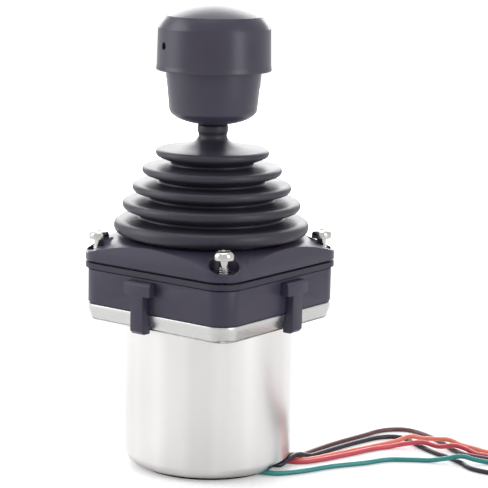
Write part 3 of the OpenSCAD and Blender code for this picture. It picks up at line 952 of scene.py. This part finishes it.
@dataclass
class Bellows:
    """Five-ring bellows in two pieces that meet in a valley.

    Each ring and valley is a radius, a height and half the width of its turn, in millimetres, from the top
    down. split is the number of the valley in which the pieces meet.
    """

    wall: float = 1.0
    rings: tuple[tuple[float, float, float], ...] = (
        (17.1, 96.1, 1.25), (21.1, 90.8, 1.25), (24.0, 85.55, 1.35), (26.9, 80.3, 1.5), (29.5, 73.9, 2.2))
    valleys: tuple[tuple[float, float, float], ...] = (
        (12.5, 93.0, 0.6), (16.0, 87.6, 0.6), (18.9, 82.5, 0.6), (21.8, 76.9, 0.6))
    split: int = 1

    def side(self, inset: float, first: int, last: int) -> Profile:
        """One side of the wall.

        Args:
            inset: 0 on the outside, the wall's thickness on the inside.
            first: number of the first ring.
            last: number of the last ring.

        Returns:
            Arcs over each nose and round each valley between the two rings.
        """
        points: Profile = []
        for number in range(first, last + 1):
            r, z, half = self.rings[number]
            points += arc((r - half, z), half - inset, 86, -65, 16)
            if number < last:
                r, z, half = self.valleys[number]
                points += arc((r + half, z), half + inset, 115, 270, 10)
        return points

    def half_valley(self, inset: float, upper: bool) -> Profile:
        """Upper or lower half of the valley where the two pieces meet."""
        r, z, half = self.valleys[self.split]
        return arc((r + half, z), half + inset, *((115, 180) if upper else (180, 270)), 6)

    def build(self, finish: Materials) -> None:
        """Turn both pieces and dress them.

        Args:
            finish: the materials by slot.
        """
        w = self.wall
        neck = rounded([(3.1, 104.78), (4.3, 104.78), (4.65, 104.2), (4.65, 102.6), (4.3, 101.8),
                        (4.3, 101.0), (4.9, 100.0), (5.9, 99.3), (7.4, 98.75), (9.4, 98.2), (11.6, 97.8)],
                       {1: 0.3, 2: 0.5, 3: 0.6, 4: 0.6, 5: 0.8, 6: 0.6, 7: 0.8, 8: 1.0, 9: 1.2}, 5)
        inner_neck = [(11.0, 96.8), (8.0, 97.3), (5.0, 98.2), (3.1, 99.9)]
        upper = (neck + self.side(0.0, 0, self.split) + self.half_valley(0.0, True)
                 + list(reversed(self.side(w, 0, self.split) + self.half_valley(w, True))) + inner_neck)
        lower = (self.half_valley(0.0, False) + self.side(0.0, self.split + 1, 4)
                 + [(23.4, 71.0), (23.4, 67.3), (25.8, 67.3), (25.8, 65.8), (22.3, 65.8), (22.3, 71.5)]
                 + list(reversed(self.half_valley(w, False) + self.side(w, self.split + 1, 4))))
        split_z = self.valleys[self.split][1] * MM
        spans = {
            "bellows_upper": (upper, Body.GIMBAL, Body.LEVER, split_z, 0.101),
            "bellows_lower": (lower, Body.BASE, Body.GIMBAL, 0.0725, split_z),
        }
        for name, (profile, below, above, low, high) in spans.items():
            piece = turned(name, profile, 144, 50.0)
            dress(piece, finish["boot_rubber"])
            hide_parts("bellows_boot")
            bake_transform(piece)
        LOG.info("bellows: %d rings", len(self.rings))


@dataclass
class Knob:
    """Cup, skirted cap and domed disc, with lengths in millimetres.

    dome is the radius of the disc's sphere. The cap's small screw hole is at hole_angle, in degrees, and at
    the height hole_z.
    """

    skirt: float = 17.3
    top: float = 140.8
    dome: float = 31.0
    hole_angle: float = -112.5
    hole_z: float = 128.5
    hole_r: float = 1.15

    def cup(self) -> bpy.types.Object:
        """Turn the cup: convex underside, round lower edge, flared wall.

        Returns:
            The cup's object.
        """
        underside = [(2.5, 104.85), (4.5, 104.85), (6.4, 105.18), (8.3, 105.65), (10.0, 106.2),
                     (11.5, 107.0)]
        outside = rounded(underside + [(13.2, 108.4), (14.3, 120.1), (14.3, 123.5)],
                          {2: 1.5, 3: 1.5, 4: 1.4, 5: 1.0, 6: 2.2}, 6)
        inside = [(12.7, 123.5), (12.7, 120.1), (12.0, 108.9), (11.2, 107.9), (2.5, 107.9)]
        return turned("knob_cup_shell", outside + inside, 144, 30.0)

    def cap(self) -> bpy.types.Object:
        """Turn the cap: tapered skirt with a fine lower lip and a convex shoulder.

        Returns:
            The cap's object.
        """
        r = self.skirt
        outside = rounded([(15.6, 121.0), (r - 0.1, 121.0), (r, 121.3), (r - 0.2, 122.4), (16.85, 133.5)],
                          {1: 0.2, 2: 0.3, 3: 1.2}, 5)
        shoulder = arc((r - 15.13, 127.1), 16.0, 23.5, 38.6, 10)
        inside = [(14.15, 137.1), (14.15, 135.5), (3.0, 135.5), (3.0, 125.5), (8.0, 125.5), (8.0, 133.5),
                  (13.4, 133.5), (15.0, 132.0), (15.0, 122.5)]
        piece = turned("cap_shell", outside + shoulder + inside, 144, 12.0)
        hole = turned("hole_tool", [(0.0, 14.0), (self.hole_r, 14.0), (self.hole_r, 20.0), (0.0, 20.0)], 32)
        aim = Matrix.Rotation(radians(self.hole_angle), 4, "Z") @ Matrix.Rotation(radians(90.0), 4, "Y")
        hole.data.transform(Matrix.Translation((0.0, 0.0, self.hole_z * MM)) @ aim)
        cut(piece, hole)
        return piece

    def disc(self) -> bpy.types.Object:
        """Turn the domed disc: a spherical cap over a short plug.

        Returns:
            The disc's object.
        """
        r = np.linspace(14.6, 0.0, 22)
        z = self.top - self.dome + np.sqrt(self.dome**2 - r**2)
        dome = list(zip(r.tolist(), z.tolist()))
        return turned("dome_disc", [(0.0, 135.55), (14.0, 135.55), (14.0, 137.12)] + dome, 144, 30.0)

    def build(self, finish: Materials) -> None:
        """Make the knob's visible pieces.

        Args:
            finish: the materials by slot.
        """
        pieces = (
            (self.cup(), "knob_cup", Body.LEVER),
            (self.cap(), "twist_cap", Body.KNOB),
            (self.disc(), "cap_dome", Body.KNOB),
        )
        for piece, node, body in pieces:
            install(piece, body, node, "knob_plastic", finish)
            LOG.info("knob: %s", node)


# ---- square stack and screws ----


@dataclass
class Stack:
    """Flange, frame, gasket, bezel, clips and screws: the CAD forms with their edges rounded.

    edges holds node, width of the rounding and slot. grooves holds, for each shadow line, its lower and upper
    height and its depth as a share of the plate's half width. Lengths are in millimetres.
    """

    edges: tuple[tuple[str, float, str], ...] = (
        ("mounting_flange", 0.25, "flange_metal"),
        ("body_frame", 0.15, "black_plastic"),
        ("panel_gasket", 0.2, "gasket_rubber"),
        ("bezel", 0.35, "black_plastic"),
        ("snap_clips", 0.25, "black_plastic"),
        ("bezel_screws", 0.12, "zinc_steel"),
    )
    grooves: dict[str, tuple[float, float, float]] = field(default_factory=lambda: {
        "panel_gasket": (60.9, 61.5, 0.035),
        "mounting_flange": (45.75, 46.1, 0.015),
    })
    groove_reach: float = 33.0
    groove_sharp: float = 28.0
    shank: tuple[float, float] = (65.4, 67.6)
    shank_core: float = 1.3
    thread_r: float = 1.5
    thread_swing: float = 0.13
    thread_pitch: float = 0.55
    thread_sharp: float = 60.0
    screw_at: float = 24.0

    def groove_tool(self, node: str) -> bpy.types.Object:
        """Ring that cuts a shadow line round a plate: a slab less a narrower prism of the plate's outline.

        Args:
            node: the plate's CAD node.

        Returns:
            The tool.
        """
        low, high, depth = self.grooves[node]
        reach = self.groove_reach
        ring = box("groove_tool", (-reach, -reach, low), (reach, reach, high), Matrix.Identity(4))
        narrow = hull(f"{node}_core", node)
        narrow.data.transform(Matrix.Diagonal((1.0 - depth, 1.0 - depth, 1.0, 1.0)))
        cut(ring, narrow)
        return ring

    def threads(self) -> bpy.types.Object:
        """Ribbed sleeves on the four screws' shanks.

        Returns:
            One object of four bodies of revolution, whose radius swings with the height.
        """
        low, high = self.shank
        core, at = self.shank_core, self.screw_at
        z = np.linspace(low, high, 45)
        radius = self.thread_r + self.thread_swing * np.cos(2 * pi * z / self.thread_pitch)
        outline = np.concatenate([[[core, low]], np.stack([radius, z], axis=1), [[core, high]]])
        r, height = outline[:, :1], outline[:, 1:]
        angle = np.linspace(0.0, 2 * pi, 32, endpoint=False)
        work = bmesh.new()
        for x, y in ((-at, -at), (-at, at), (at, -at), (at, at)):
            grid = np.stack([r * np.cos(angle) + x, r * np.sin(angle) + y, height + 0 * angle], axis=-1) * MM
            part = surface_object("thread_part", grid, (True, True), self.thread_sharp)
            work.from_mesh(part.data)
            bpy.data.objects.remove(part)
        mesh = bpy.data.meshes.new("screw_threads")
        work.to_mesh(mesh)
        work.free()
        return finished("screw_threads", mesh, self.thread_sharp)

    def build(self, finish: Materials) -> None:
        """Round each piece's edges and dress it.

        Args:
            finish: the materials by slot.
        """
        install(self.threads(), Body.BASE, "bezel_screws", "zinc_steel", finish)
        for node, width, slot in self.edges:
            piece = softened(f"{node}_soft", node, width)
            if node in self.grooves:
                cut(piece, self.groove_tool(node), self.groove_sharp)
            install(piece, Body.BASE, node, slot, finish)
            LOG.info("stack: %s, %d faces", node, len(piece.data.polygons))


def dress_cad(finish: Materials) -> None:
    """Give every CAD node that still shows the finish of its slot, and the base cover a darker one as painted
    shadow.

    Args:
        finish: the materials by slot.
    """
    # painted shadow: the base cover's slot is swapped for a near-black finish that stands in for the contact
    # shadow under the can's edge
    own = {"base_cover": "cover_plastic_painted_shadow"}
    for entry in FRAME["record"]["subparts"]:
        obj = cad_object(entry["node"])
        if obj.hide_render:
            continue
        dress(obj, finish[own.get(entry["node"], entry["material_slot"])])


def main() -> None:
    """Build every piece in order."""
    logging.basicConfig(level=logging.INFO, format="%(name)s: %(message)s")
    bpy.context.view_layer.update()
    Stage().build()
    finish = Finishes().build()
    Leads().build(finish)
    Can().build(finish)
    Stack().build(finish)
    Bellows().build(finish)
    Knob().build(finish)
    dress_cad(finish)


if __name__ == "__main__":
    main()
